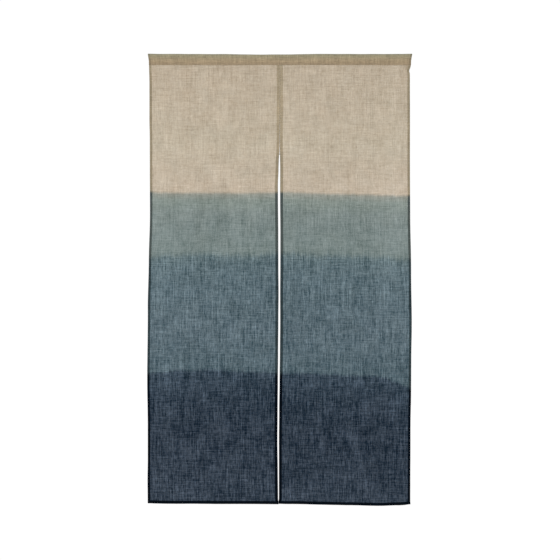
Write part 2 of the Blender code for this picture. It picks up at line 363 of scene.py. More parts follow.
# Cloth of a panel. Its columns run from the left hem's tucked edge over the front to the right hem's, and
# its rows from the top down and round the bottom hem. A column's distance behind is carried along the
# bottom hem's normal, so that the side hems are folded up with it.
def panelCloth(side):
    look = clothLook
    hems = (look["outerHem"] * mm, look["slitHem"] * mm)
    leftHem, rightHem = hems if side < 0 else hems[::-1]
    turn, tuckTurn = look["turn"] * mm, look["tuckTurn"] * mm
    left = hemPath(leftHem, np.array([turn]), tuckTurn)[:, ::-1, 0]
    right = hemPath(rightHem, np.array([turn]), tuckTurn)[:, :, 0]
    between = np.linspace(0, 1, look["columns"] + 1)

    # Distance in from the left edge, as a fixed length plus a share of the panel's width
    main = leftHem - between * (leftHem + rightHem)
    fixed = np.concatenate([left[0], [leftHem / 2], main, [-rightHem / 2], -right[0]])
    ofWidth = np.concatenate([0 * left[0], [0], between, [1], 1 + 0 * right[0]])
    behind = np.concatenate([left[1], 0 * between, [0, 0], right[1]])
    beyond = np.concatenate([turn - left[4], 0 * between, [0, 0], right[4] - turn])

    flatWidth, flatDepth = look["flatWidth"] * mm, look["flatDrop"] * mm
    bottomX = outerX(-1, flatDepth) if side < 0 else slitX(1, flatDepth)
    across = fixed + ofWidth * flatWidth
    bottom = follow(curtain["bottomEdge"], bottomX + across)
    fromSides = np.minimum(np.abs(across), np.abs(flatWidth - across))
    nearCorner = 1 - ease((fromSides - max(leftHem, rightHem)) / (look["cornerEase"] * mm))
    cornerTurn = turn + (look["cornerTurn"] * mm - turn) * nearCorner
    cornerTuck = tuckTurn + (look["cornerTuckTurn"] * mm - tuckTurn) * nearCorner
    hem = hemPath(look["bottomHem"] * mm, cornerTurn, cornerTuck)

    top = look["tongueTop"] * mm
    hemLine = bottom - look["bottomHem"] * mm
    share = np.linspace(0, 1, look["rows"] + 1)[:, None]
    mainDrop = top + (hemLine - top) * share
    lastDrop = (hemLine + bottom - cornerTurn) / 2
    drop = np.concatenate([mainDrop, lastDrop[None], bottom - hem[0] - behind * hem[2]])
    layers = np.concatenate([behind + 0 * mainDrop, behind[None], hem[1] + behind * hem[3]])
    flatDrop = np.concatenate([mainDrop, lastDrop[None], bottom - cornerTurn + hem[4]])

    edges = (outerX(side, drop), slitX(side, drop))
    leftX, rightX = edges if side < 0 else edges[::-1]
    x = leftX + fixed + ofWidth * (rightX - leftX)
    y = clothDepth(side, x, drop) + look["frontLayer"] * mm + layers
    points = np.stack([x, y, -drop], axis=-1)
    column = np.arange(len(fixed))
    isLeft, isRight = column < len(left[0]), column >= len(fixed) - len(right[0])
    flatAcross = np.where(isLeft, beyond, np.where(isRight, flatWidth + beyond, across))
    flat = np.stack([flatAcross + 0 * drop + look["flatShift"][side], flatDrop], axis=-1)

    # The front layer inside the hems is sheer, and everything folded is not
    sheerColumns = np.zeros(len(fixed) - 1, bool)
    sheerColumns[len(left[0]) + 1 : len(left[0]) + 1 + look["columns"]] = True
    sheerRows = np.arange(len(drop) - 1) < look["rows"]
    slots = np.where(sheerRows[:, None] & sheerColumns, 0, 1)
    name = "linenPanelLeft" if side < 0 else "linenPanelRight"
    piece = gridMesh(name, points, flat, slots=slots)
    thicken(piece)
    openWidth = float(flatWidth - 2 * turn + left[4].max() + right[4].max())
    openLength = float(flatDepth - top + hem[4].max(axis=0).min() - turn)
    print(f"{name}: flat {openWidth:.3f} x {openLength:.3f} m")
    return piece, (openWidth, openLength)


def thicken(piece):
    cloth = piece.modifiers.new("clothThickness", "SOLIDIFY")
    cloth.thickness = clothLook["thickness"] * mm
    cloth.offset = 0.0


headingLook = dict(
    height=37.2,
    halfWidth=436.5,
    pocketRadius=6.8,
    stitchedFrom=29.0,  # where the pocket ends
    frontLeg=1.25,  # middle of each layer from the panels' plane
    backLeg=1.95,
    edgeTurn=0.3,
    edgeTuck=8.0,
    reach={-1: 436.6, 1: 436.6},
    cornerFlare={-1: 3.6, 1: 4.0},
    flareHeight=28,
    endTuck=10.0,
    fullness=[(0.06, 570, 0.6), (0.04, 230, 0.0)],
    ripple=0.14,  # along the stitches and along the top edge
    rippleAbove=4.0,  # how far above the pocket's end line it is strongest
    rippleReach=7.0,
    rippleWaves=(3.7, 5.9, 16.3),  # one radian of each wave
    topReach=20,
    topWaves=(13.1, 41.0),
    flatShift=3.0,  # metres from the panels' weave
    columns=250,
)


# Half of the strip's section from its tucked raw edge: up inside, round the lower edge, up the leg, out to
# the pocket's side by an eased swell, and a quarter circle to the top. Rows of drop and distance out.
def headingHalf(leg):
    look = headingLook
    leg, turn, radius = leg * mm, look["edgeTurn"] * mm, look["pocketRadius"] * mm
    low, stitched = look["height"] * mm, look["stitchedFrom"] * mm
    tuck = np.linspace(low - look["edgeTuck"] * mm, low - turn, 4)
    angle = np.linspace(0, np.pi, 6)[1:]
    legDrop = np.linspace(low - turn, stitched, 5)[1:]
    sideDrop = np.linspace(stitched, radius, 13)[1:]
    swell = ease((stitched - sideDrop) / (stitched - radius))
    arc = np.linspace(np.pi / 2, 0, 9)[1:]
    drop = np.concatenate([
        tuck, low - turn + turn * np.sin(angle), legDrop, sideDrop, radius * (1 - np.cos(arc)),
    ])
    out = np.concatenate([
        leg - 2 * turn + 0 * tuck, leg - turn - turn * np.cos(angle), leg + 0 * legDrop,
        leg + (radius - leg) * swell, radius * np.sin(arc),
    ])
    return drop, out


# The top edge's sag, less and less down to the strip's straight lower edge.
def topSag(x, drop):
    return follow(curtain["topSag"], x) * (1 - drop / (headingLook["height"] * mm))


# Ripple along the heading's stitches: three sine waves along x, under a bell down the strip.
def stitchRipple(x, drop):
    look = headingLook
    fine, middling, broad = metres(look["rippleWaves"])
    waves = np.sin(x / fine) + 0.8 * np.sin(x / middling + 1.2) + 0.6 * np.sin(x / broad + drop * 90)
    below = drop - (look["stitchedFrom"] - look["rippleAbove"]) * mm
    return look["ripple"] * mm * waves * np.exp(-((below / (look["rippleReach"] * mm)) ** 2))


# The strip: its section carried along x, with a sag, corners that flare by a power of 1.5, a fullness that
# changes by two sine waves, and ripples along its stitches and its top. Half circles turn its ends in.
def headingStrip():
    look = headingLook
    frontDrop, frontOut = headingHalf(look["frontLeg"])
    backDrop, backOut = headingHalf(look["backLeg"])
    drop = np.concatenate([frontDrop, backDrop[-2::-1]])[:, None]
    depth = np.concatenate([-frontOut, backOut[-2::-1]])[:, None]
    length = np.concatenate([[0], np.cumsum(np.hypot(np.diff(drop[:, 0]), np.diff(depth[:, 0])))])
    along = np.gradient(np.stack([drop[:, 0], depth[:, 0]]), axis=1)
    along /= np.hypot(*along)
    inDrop, inDepth = along[1][:, None], -along[0][:, None]

    turn = look["edgeTurn"] * mm
    angle, share = np.linspace(0, np.pi, 5), np.linspace(0, 1, 4)[1:]
    endIn = np.concatenate([turn * (1 - np.sin(angle)), turn + (look["endTuck"] * mm - turn) * share])
    endBehind = np.concatenate([turn * (1 - np.cos(angle)), 2 * turn + 0 * share])
    endLength = np.concatenate([turn * angle, turn * np.pi + (look["endTuck"] * mm - turn) * share])
    main = np.linspace(-1, 1, look["columns"] + 1)[1:-1]
    shares = np.concatenate([-1 + 0 * endIn, main, 1 + 0 * endIn])
    inward = np.concatenate([endIn[::-1], 0 * main, -endIn])
    inside = np.concatenate([endBehind[::-1], 0 * main, endBehind])
    half = look["halfWidth"] * mm
    flatX = np.concatenate([-half - endLength[::-1], main * half, half + endLength])

    side = np.where(shares < 0, -1, 1)
    reach, flare = (
        np.where(side < 0, look[name][-1], look[name][1]) * mm for name in ("reach", "cornerFlare")
    )
    x = shares * (reach + flare * np.clip(1 - drop / (look["flareHeight"] * mm), 0, 1) ** 1.5) + inward
    stitched, radius = look["stitchedFrom"] * mm, look["pocketRadius"] * mm
    pocket = ease((stitched - drop) / (stitched - radius))
    fuller = sum(a * np.sin(2 * np.pi * x / (l * mm) + p) for a, l, p in look["fullness"])
    y = depth * (1 + fuller * pocket) + inside * inDepth
    rows = drop + inside * inDrop
    y = y + np.where(depth < 0, -1, 1) * stitchRipple(x, drop)
    nearTop = 1 - ease(drop / (look["topReach"] * mm))
    short, long = metres(look["topWaves"])
    topWave = look["ripple"] * mm * (np.sin(x / short) + np.sin(x / long + 1))
    points = np.stack([x, y, -rows - topSag(x, drop) - nearTop * topWave], axis=-1)
    flat = np.stack([flatX + 0 * drop + look["flatShift"], length[:, None] + 0 * x], axis=-1)

    # The ends are turned over everywhere, and run on inwards only round the pocket
    row, column = np.arange(len(drop) - 1), np.arange(len(shares) - 1)
    isPocket = (drop[:-1, 0] < stitched) & (drop[1:, 0] < stitched) & (row > 2) & (row < len(drop) - 4)
    isTurned = (column > len(endIn) - 4) & (column < len(shares) - len(endIn) + 2)
    kept = isTurned[None, :] | isPocket[:, None]
    piece = gridMesh("linenHeading", points, flat, kept=kept)
    thicken(piece)
    flatSize = (2 * half + 2 * float(endLength[-1]), float(length[-1]))
    print(f"linenHeading: flat {flatSize[0]:.3f} x {flatSize[1]:.3f} m")
    return piece, flatSize


threadLook = dict(
    radius=0.16,
    pitch=3.3,
    length=2.3,
    headingLine=31.5,  # drop of the heading's line of stitches
    headingEnds=(-432, 431),
    outerLine=6.6,  # from each edge
    slitLine=8.0,
    bottomLine=8.6,
    sideDrops=(46, 1488),
    bottomFrom=1490,
    bottomInset=(4, 3),  # from the slit and from the outer edge
    joinPitch=2.6,  # stitches that join the two panels
    joinLength=4.2,
    joinFrom=43,
    joinSlant=0.45,
    joinRise=0.1,
    tackRows=6,  # bar tack at the top of the slit
    tackPitch=0.42,
    tackLength=7.5,
    plainColour=(170, 156, 130),
    twistCells=1400,
)


# One stitch along its own x axis: rings of five points whose centre rises by a parabola and dips at both
# ends, closed by a point at each end.
def stitchShape():
    ringAt = np.array([-0.86, -0.45, 0.0, 0.45, 0.86])
    ringSize = np.array([0.75, 1.0, 1.0, 1.0, 0.75])
    turn = np.arange(5) * 2 * np.pi / 5
    lift = lambda at: 0.9 - 1.5 * at**2
    rings = np.stack([
        np.repeat(ringAt, 5), np.outer(ringSize, np.cos(turn)).ravel(),
        np.outer(ringSize, np.sin(turn)).ravel() + np.repeat(lift(ringAt), 5),
    ], axis=-1)
    tips = np.array([(-1.0, 0.0, lift(1.0)), (1.0, 0.0, lift(1.0))])
    faces = [
        (5 * k + i, 5 * k + (i + 1) % 5, 5 * k + 5 + (i + 1) % 5, 5 * k + 5 + i)
        for k in range(4) for i in range(5)
    ]
    caps = [((i + 1) % 5, i, 25) for i in range(5)] + [(20 + i, 20 + (i + 1) % 5, 26) for i in range(5)]
    return np.concatenate([rings, tips]), faces, caps


# Stitches as one mesh: the stitch's points carried to each place by its own length, side and normal.
def threadMesh(name, middles, along, outward, halfLength):
    middles, along, outward = (np.concatenate(part) for part in (middles, along, outward))
    shape, faces, caps = stitchShape()
    radius = threadLook["radius"] * mm
    along = along / np.linalg.norm(along, axis=1, keepdims=True)
    across = np.cross(outward, along)
    across /= np.linalg.norm(across, axis=1, keepdims=True)
    normal = np.cross(along, across)
    local = shape * np.array([1.0, radius, radius])
    points = (
        middles[:, None]
        + along[:, None] * local[None, :, :1] * np.asarray(halfLength)[..., None, None]
        + across[:, None] * local[None, :, 1:2]
        + normal[:, None] * local[None, :, 2:]
    )
    count = len(shape)
    shift = (np.arange(len(middles)) * count)[:, None, None]
    quads = (np.array(faces)[None] + shift).reshape(-1, 4)
    triangles = (np.array(caps)[None] + shift).reshape(-1, 3)
    mesh = bpy.data.meshes.new(name)
    mesh.from_pydata(points.reshape(-1, 3).tolist(), [], quads.tolist() + triangles.tolist())
    return addPiece(name, mesh)


# How far behind the panel's plane a stitch lies: on the cloth's front, or on the back of its hem.
def stitchOffset(face):
    half = clothLook["thickness"] / 2
    return (clothLook["frontLayer"] + (2 * clothLook["turn"] + half if face > 0 else -half)) * mm


# Middle, direction and outward normal of each stitch along a line of points, two points to a stitch.
def stitchesAlong(points, face):
    middles = points[1::2]
    return middles, points[2::2] - points[:-2:2], np.tile([0.0, face, 0.0], (len(middles), 1))


# Points half a pitch apart, an odd number of them.
def places(start, end):
    pitch = threadLook["pitch"] * mm / 2
    return np.arange(start, end, pitch)[: int((end - start) / pitch) // 2 * 2 + 1]


# Every hem line of a panel, on both faces.
def panelThread(side):
    look = threadLook
    down = places(*metres(look["sideDrops"]))
    bottomDrop, fromSlit, fromOuter = metres([look["bottomFrom"], *look["bottomInset"]])
    ends = (slitX(side, bottomDrop) + side * fromSlit, outerX(side, bottomDrop) - side * fromOuter)
    across = places(*sorted(ends))
    lines = [
        (outerX(side, down) - side * look["outerLine"] * mm, down),
        (slitX(side, down) + side * look["slitLine"] * mm, down),
        (across, follow(curtain["bottomEdge"], across) - look["bottomLine"] * mm),
    ]
    stitches = []
    for face in (-1, 1):
        for x, drop in lines:
            y = clothDepth(side, x, drop) + stitchOffset(face)
            stitches.append(stitchesAlong(np.stack([x, y, -drop], axis=-1), face))
    name = "hemThreadLeft" if side < 0 else "hemThreadRight"
    return threadMesh(name, *zip(*stitches), look["length"] * mm / 2)


# The heading's line of stitches, on both faces, in the waves of its own cloth.
def headingThread():
    look = threadLook
    x = places(*metres(look["headingEnds"]))
    drop = look["headingLine"] * mm
    stitches = []
    for face, leg in ((-1, headingLook["frontLeg"]), (1, headingLook["backLeg"])):
        y = face * ((leg + clothLook["thickness"] / 2) * mm + stitchRipple(x, drop))
        stitches.append(stitchesAlong(np.stack([x, y, -drop - topSag(x, drop)], axis=-1), face))
    return threadMesh("headingThread", *zip(*stitches), look["length"] * mm / 2)


# Slanting stitches that join the panels edge to edge, and a bar tack where the slit begins.
def seamThread():
    look = threadLook
    end = curtain["seamEnd"] * mm
    drop = np.arange(look["joinFrom"] * mm, end, look["joinPitch"] * mm)
    tack = end + (np.arange(look["tackRows"]) - look["tackRows"] / 2) * look["tackPitch"] * mm
    slant = np.where(np.arange(len(drop)) % 2, look["joinSlant"], -look["joinSlant"])
    middles, along, outward, half = [], [], [], []
    for face in (-1, 1):
        for rows, lean, length in ((drop, slant, look["joinLength"]), (tack, 0 * tack, look["tackLength"])):
            x = follow(curtain["slit"], rows, 1)
            y = foldDepth(-1, x, rows) + puckerDepth(-1, x, rows) + stitchOffset(face)
            middles.append(np.stack([x, y + face * look["joinRise"] * mm, -rows], axis=-1))
            along.append(np.stack([np.ones_like(x), 0 * x, lean], axis=-1))
            outward.append(np.tile([0.0, face, 0.0], (len(rows), 1)))
            half.append(np.full(len(rows), length * mm / 2))
    return threadMesh("seamThread", middles, along, outward, np.concatenate(half))


# A node group with named sockets, and its input and output nodes.
def newGroup(name, inputs, outputs):
    group = bpy.data.node_groups.new(name, "ShaderNodeTree")
    for socketName, kind, value in inputs:
        socket = group.interface.new_socket(socketName, in_out="INPUT", socket_type=kind)
        if value is not None:
            socket.default_value = value
    for socketName, kind in outputs:
        group.interface.new_socket(socketName, in_out="OUTPUT", socket_type=kind)
    return group, group.nodes.new("NodeGroupInput"), group.nodes.new("NodeGroupOutput")


# Joins a value or an output to an input.
def feed(tree, source, target):
    if isinstance(source, bpy.types.NodeSocket):
        tree.links.new(source, target)
    else:
        target.default_value = source


# A node with its settings, and a value or an output at each of its inputs.
def addNode(tree, kind, inputs, **settings):
    node = tree.nodes.new("ShaderNode" + kind)
    for name, value in settings.items():
        setattr(node, name, value)
    for place, source in inputs.items():
        feed(tree, source, node.inputs[place])
    return node


def mathNode(tree, kind, first, second=0.0, third=0.0, clamp=False):
    inputs = {0: first, 1: second, 2: third}
    return addNode(tree, "Math", inputs, operation=kind, use_clamp=clamp).outputs[0]


def timesPlus(tree, first, second, third):
    return mathNode(tree, "MULTIPLY_ADD", first, second, third)


def mixColor(tree, share, first, second, blend="MIX"):
    inputs = {0: share, 6: first, 7: second}
    return addNode(tree, "Mix", inputs, data_type="RGBA", blend_type=blend).outputs[2]


def mixValue(tree, share, first, second):
    return addNode(tree, "Mix", {0: share, 2: first, 3: second}).outputs[0]


def partsOf(tree, vector):
    return addNode(tree, "SeparateXYZ", {0: vector}).outputs


# A grey of the given value.
def greyOf(tree, value):
    return addNode(tree, "CombineColor", {0: value, 1: value, 2: value}).outputs[0]


# 0 below low, 1 above high and a cubic between.
def softStep(tree, value, low, high):
    inputs = {"Value": value, "From Min": low, "From Max": high}
    return addNode(tree, "MapRange", inputs, interpolation_type="SMOOTHSTEP").outputs["Result"]


# Noise from -0.5 to 0.5 whose cells are so many to a metre across and down the cloth.
def clothNoise(tree, flat, across, down, detail=2.0, shift=0.0):
    place = {0: flat, 1: (across, down, 1.0), 2: (shift, shift * 0.7, shift * 1.3)}
    scaled = addNode(tree, "VectorMath", place, operation="MULTIPLY_ADD").outputs[0]
    inputs = {"Vector": scaled, "Scale": 1.0, "Detail": detail, "Roughness": 0.55}
    return mathNode(tree, "SUBTRACT", addNode(tree, "TexNoise", inputs).outputs["Fac"], 0.5)


weave = dict(
    pitch=1.05,  # millimetres between yarns
    wobble=2.6,  # how far the yarns wander, in radians of their wave
    wobbleCells=160,
    crossing=0.12,  # how soft the step is from one yarn on top to the other
    under=0.65,  # size of a yarn where the one it crosses is thinnest
    slubStrength=6.0,
    slubRelief=0.12,
    levelFiner=1.3,  # how much shorter the level yarns' slubs are
    # slubs to a metre across a yarn and along it, and how much they show
    slubs=[(640, 62, 0.85), (560, 8, 0.80), (250, 26, 0.66), (110, 9, 0.16)],
)


# Plain weave with slubs. Each yarn is the size of a sine wave, and the product of both sine waves says which
# one lies on top. Slubs are noise drawn out along the yarns, once down and once across the cloth.
def buildWeave():
    group, start, end = newGroup(
        "slubWeave",
        [("Flat", "NodeSocketVector", None)],
        [(name, "NodeSocketFloat") for name in ("Warp", "Weft", "Yarn", "Height")],
    )
    flat = start.outputs["Flat"]
    look = weave
    warp = weft = 0.0
    for k, (across, along, size) in enumerate(look["slubs"]):
        down = clothNoise(group, flat, across, along, 2.0, 3.1 + 7 * k)
        level = clothNoise(group, flat, along * look["levelFiner"], across, 2.0, 23.1 + 7 * k)
        warp = timesPlus(group, down, look["slubStrength"] * size, warp)
        weft = timesPlus(group, level, look["slubStrength"] * size, weft)

    wobble = clothNoise(group, flat, look["wobbleCells"], look["wobbleCells"], 1.0, 57.0)
    waves = []
    for place in partsOf(group, flat)[:2]:
        turns = mathNode(group, "MULTIPLY", place, math.pi / (look["pitch"] * mm))
        waves.append(mathNode(group, "SINE", timesPlus(group, wobble, look["wobble"], turns)))
    warpOver = softStep(group, mathNode(group, "MULTIPLY", *waves), -look["crossing"], look["crossing"])
    sizes = [mathNode(group, "ABSOLUTE", wave) for wave in waves]
    warpTop, weftTop = (
        mathNode(group, "MULTIPLY", own, timesPlus(group, other, 1 - look["under"], look["under"]))
        for own, other in (sizes, sizes[::-1])
    )
    yarn = mixValue(group, warpOver, weftTop, warpTop)
    height = timesPlus(group, mathNode(group, "ADD", warp, weft), look["slubRelief"], yarn)
    for name, source in (("Warp", warp), ("Weft", weft), ("Yarn", yarn), ("Height", height)):
        group.links.new(source, end.inputs[name])
    return group


# Colours as they look over white, in sRGB of 0 to 255. Rows of a band are distance below its border, then
# the colour. Open is how much of what lies behind shows through, spread how unevenly, streak how uneven the
# colour is, warp how much more the upright yarns show than the level ones, mottle how much large clouds show
# beside the yarns, and folded the colour where the cloth lies in layers. The rows' colours are partly the dye
# and partly painted light, the coloured glow of light from behind through a single layer, which folded lacks.
bands = dict(
    natural=dict(
        open=0.165, spread=0.18, warp=1.0, streak=0.098, mottle=3.3, folded=(151, 139, 117),
        rows=[
            (0, (184, 170, 150)), (60, (186, 172, 152)), (200, (189, 176, 156)), (300, (190, 178, 158)),
            (440, (193, 179, 160)),
        ],
    ),
    green=dict(
        open=0.11, spread=0.23, warp=1.25, streak=0.08, mottle=4.3, folded=(77, 85, 83),
        rows=[
            (0, (153, 153, 143)), (12, (143, 148, 140)), (25, (134, 144, 138)), (45, (130, 141, 136)),
            (65, (126, 137, 134)), (110, (123, 135, 133)), (200, (121, 134, 132)),
        ],
    ),
    slate=dict(
        open=0.060, spread=0.38, warp=1.5, streak=0.175, mottle=3.0, folded=(51, 63, 67),
        rows=[
            (0, (100, 117, 121)), (35, (96, 113, 119)), (80, (93, 110, 117)), (250, (91, 107, 115)),
            (390, (86, 103, 111)),
        ],
    ),
    navy=dict(
        open=0.022, spread=0.68, warp=1.5, streak=0.255, mottle=3.5, folded=(11, 18, 25),
        rows=[
            (0, (60, 73, 85)), (50, (54, 66, 78)), (100, (51, 62, 74)), (200, (50, 60, 72)),
            (340, (52, 62, 74)), (410, (56, 66, 78)), (440, (53, 63, 75)),
        ],
    ),
)
dip = dict(
    seam=(165, 151, 127),  # the hems in the seam, painted lighter for light from behind that shines between the joined panels
    softness=[14.0, 28.0, 16.0],  # millimetres from one colour to the next
    bleed=[4.0, 16.0, 11.0],  # how far the dye creeps along single yarns
    drift=[3.0, 6.0, 6.0],
    whiteLevel=1.0,  # how bright a white surface is in this light
    haze=0.003,  # what the cloth's surface reflects at any colour
    tint=0.09,  # how far the dye drifts between warm and cool
    # cells of each noise to a metre, across and down
    creepCells=(290, 16),
    driftCells=(22, 9),
    cloudCells=(19, 14),
    tintCells=(20, 17),
)


def linear(level):
    level = level / 255
    return level / 12.92 if level <= 0.04045 else ((level + 0.055) / 1.055) ** 2.4


# The colour of the covered share: what is seen less the white that shows through, over the covered share.
# Over a single layer it still holds painted light, the glow of light from behind through the yarns.
def coveredColour(seen, open_):
    own = [(linear(c) - open_ - dip["haze"]) / (1 - open_) / dip["whiteLevel"] for c in seen]
    return tuple(max(0.001, c) for c in own) + (1.0,)


# A band's colours as a ramp down the cloth.
def bandRamp(tree, below, band):
    span = band["rows"][-1][0]
    ramp = addNode(tree, "ValToRGB", {"Fac": mathNode(tree, "DIVIDE", below, span * mm)})
    stops = ramp.color_ramp.elements
    while len(stops) < len(band["rows"]):
        stops.new(0.5)
    for stop, (place, seen) in zip(stops, band["rows"]):
        stop.position = place / span
        stop.color = coveredColour(seen, band["open"])
    return ramp.outputs["Color"]


# Natural linen and three dips one under another. Each border is moved by noise drawn out along the yarns, as
# dye creeps, and by a slow drift, and all the values change over a soft step. The exponent of patches, clouds
# of noise and slubs makes the colours uneven.
def buildDye():
    group, start, end = newGroup(
        "dipDye",
        [
            ("Below", "NodeSocketVector", None), ("Flat", "NodeSocketVector", None),
            ("Paler", "NodeSocketFloat", 0.0), ("InSeam", "NodeSocketFloat", 0.0),
            ("Warp", "NodeSocketFloat", 0.0), ("Weft", "NodeSocketFloat", 0.0),
        ],
        [("Color", "NodeSocketColor"), ("Folded", "NodeSocketColor"), ("Open", "NodeSocketFloat")],
    )
    flat = start.outputs["Flat"]
    natural, *dyed = bands.values()
    colour = bandRamp(group, partsOf(group, flat)["Y"], natural)
    hems = (coveredColour(natural["folded"], 0.0), coveredColour(dip["seam"], 0.0))
    # The seam's hems get painted light, for light from behind between the joined panels.
    folded = mixColor(group, start.outputs["InSeam"], *hems)
    changing = {name: natural[name] for name in ("open", "spread", "warp", "streak", "mottle")}
    for k, (below, band) in enumerate(zip(partsOf(group, start.outputs["Below"]), dyed)):
        creep = clothNoise(group, flat, *dip["creepCells"], 2.0, 70.0 + 11 * k)
        drift = clothNoise(group, flat, *dip["driftCells"], 1.0, 90.0 + 11 * k)
        moved = timesPlus(group, creep, 2 * dip["bleed"][k] * mm, below)
        moved = timesPlus(group, drift, 2 * dip["drift"][k] * mm, moved)
        soft = dip["softness"][k] * mm
        share = softStep(group, moved, -soft / 2, soft / 2)
        colour = mixColor(group, share, colour, bandRamp(group, below, band))
        folded = mixColor(group, share, folded, coveredColour(band["folded"], 0.0))
        changing = {name: mixValue(group, share, before, band[name]) for name, before in changing.items()}
    slub = timesPlus(group, start.outputs["Warp"], changing["warp"], start.outputs["Weft"])
    cloud = clothNoise(group, flat, *dip["cloudCells"], 2.0, 120.0)
    uneven = timesPlus(group, cloud, changing["mottle"], slub)
    uneven = mathNode(group, "ADD", uneven, start.outputs["Paler"])
    tone = mathNode(group, "EXPONENT", mathNode(group, "MULTIPLY", uneven, changing["streak"]))
    warm = mathNode(group, "MULTIPLY", clothNoise(group, flat, *dip["tintCells"], 2.0, 140.0), dip["tint"])
    redder, bluer = (
        mathNode(group, "MULTIPLY", tone, mathNode(group, kind, 1.0, warm)) for kind in ("ADD", "SUBTRACT")
    )
    tinted = addNode(group, "CombineColor", {0: redder, 1: tone, 2: bluer}).outputs[0]
    for kind, base in (("Color", colour), ("Folded", folded)):
        group.links.new(mixColor(group, 1.0, base, tinted, "MULTIPLY"), end.inputs[kind])
    varied = timesPlus(group, uneven, changing["spread"], 1.0)
    opened = mathNode(group, "MULTIPLY", changing["open"], mathNode(group, "MAXIMUM", varied, 0.0))
    group.links.new(opened, end.inputs["Open"])
    return group


weaveGroup, dyeGroup = buildWeave(), buildDye()


def newMaterial(name, roughness):
    material = bpy.data.materials.new(name)
    material.use_nodes = True
    shader = material.node_tree.nodes["Principled BSDF"]
    shader.inputs["Roughness"].default_value = roughness
    shader.inputs["Specular IOR Level"].default_value = 0.05  # cloth has next to no gloss
    return material, material.node_tree, shader


# The base colour: a colour times a grey tone.
def paint(tree, shader, base, tone):
    painted = mixColor(tree, 1.0, base, greyOf(tree, tone), "MULTIPLY")
    tree.links.new(painted, shader.inputs["Base Color"])


# The dye group, reading what the mesh keeps for it. It gets the weave's slubs where the piece is woven.
def placeDye(tree, flat, slubs):
    inputs = {"Flat": flat, **slubs}
    for name, kind, target in (
        ("belowBorder", "Vector", "Below"), ("paler", "Fac", "Paler"), ("inSeam", "Fac", "InSeam"),
    ):
        inputs[target] = addNode(tree, "Attribute", {}, attribute_name=name).outputs[kind]
    return addNode(tree, "Group", inputs, node_tree=dyeGroup).outputs


linenLook = dict(
    yarnDark=0.80,  # painted shade between the yarns, and how much lighter the top of a yarn is painted
    yarnLift=0.34,
    rough=0.92,  # between the yarns, and how much less on the top of a yarn
    roughDrop=0.06,
    bump=0.6,
    panelRelief=0.22,  # millimetres
    headingRelief=0.25,
)


# A linen material with the weave, read from the cloth's own UV map, and with its relief.
def startLinen(name, roughness, relief):
    material, tree, shader = newMaterial(name, roughness)
    flat = addNode(tree, "UVMap", {}, uv_map="flatCloth").outputs["UV"]
    cloth = addNode(tree, "Group", {"Flat": flat}, node_tree=weaveGroup).outputs
    raised = {"Strength": linenLook["bump"], "Distance": relief * mm, "Height": cloth["Height"]}
    tree.links.new(addNode(tree, "Bump", raised).outputs["Normal"], shader.inputs["Normal"])
    return material, tree, shader, flat, cloth


# Dyed linen. The sheer kind lets the background through between its yarns, once for each thickness of
# cloth, and the folded kind, with cloth behind it, is darker and lets nothing through. The sheer kind's
# colour holds painted light, the glow of light from behind through the cloth, which the folded kind's lacks.
def dyedLinen(name, sheer):
    look = linenLook
    material, tree, shader, flat, cloth = startLinen(name, 0.88, look["panelRelief"])
    colour = placeDye(tree, flat, {"Warp": cloth["Warp"], "Weft": cloth["Weft"]})
    # Painted shade between the yarns and painted light on their tops.
    yarnTone = timesPlus(tree, cloth["Yarn"], look["yarnLift"], look["yarnDark"])
    paint(tree, shader, colour["Color" if sheer else "Folded"], yarnTone)
    rough = timesPlus(tree, cloth["Yarn"], -look["roughDrop"], look["rough"])
    tree.links.new(rough, shader.inputs["Roughness"])
    if sheer:
        cover = mathNode(tree, "SUBTRACT", 1.0, colour["Open"], clamp=True)
        seen = mathNode(tree, "SUBTRACT", 1.0, addNode(tree, "NewGeometry", {}).outputs["Backfacing"])
        tree.links.new(mathNode(tree, "MULTIPLY", cover, seen), shader.inputs["Alpha"])
    return material


# Undyed linen of the heading, whose colour changes down the strip by painted light and shade: painted shade
# and a greener tint on the pocket's rounded top, painted light where light from behind comes through the
# pocket's own two layers, and painted shade where it is sewn over the panels. Rows are drop, then the colour.
# Slubs, clouds and yarns add up to its tone, which falls by a soft step of painted shade at the turned-in
# ends.
headingColour = dict(
    rows=[
        (0, (147, 143, 121)), (7, (155, 147, 121)), (22, (168, 151, 124)), (27, (164, 146, 119)),
        (31, (158, 140, 115)), (38, (158, 141, 117)),
    ],
    streak=0.125,
    cloud=0.20,
    cloudCells=(22, 50),
    endShade=0.77,  # how dark the ends are beside the rest
    endWidth=5.5,
    endFade=3.0,
)


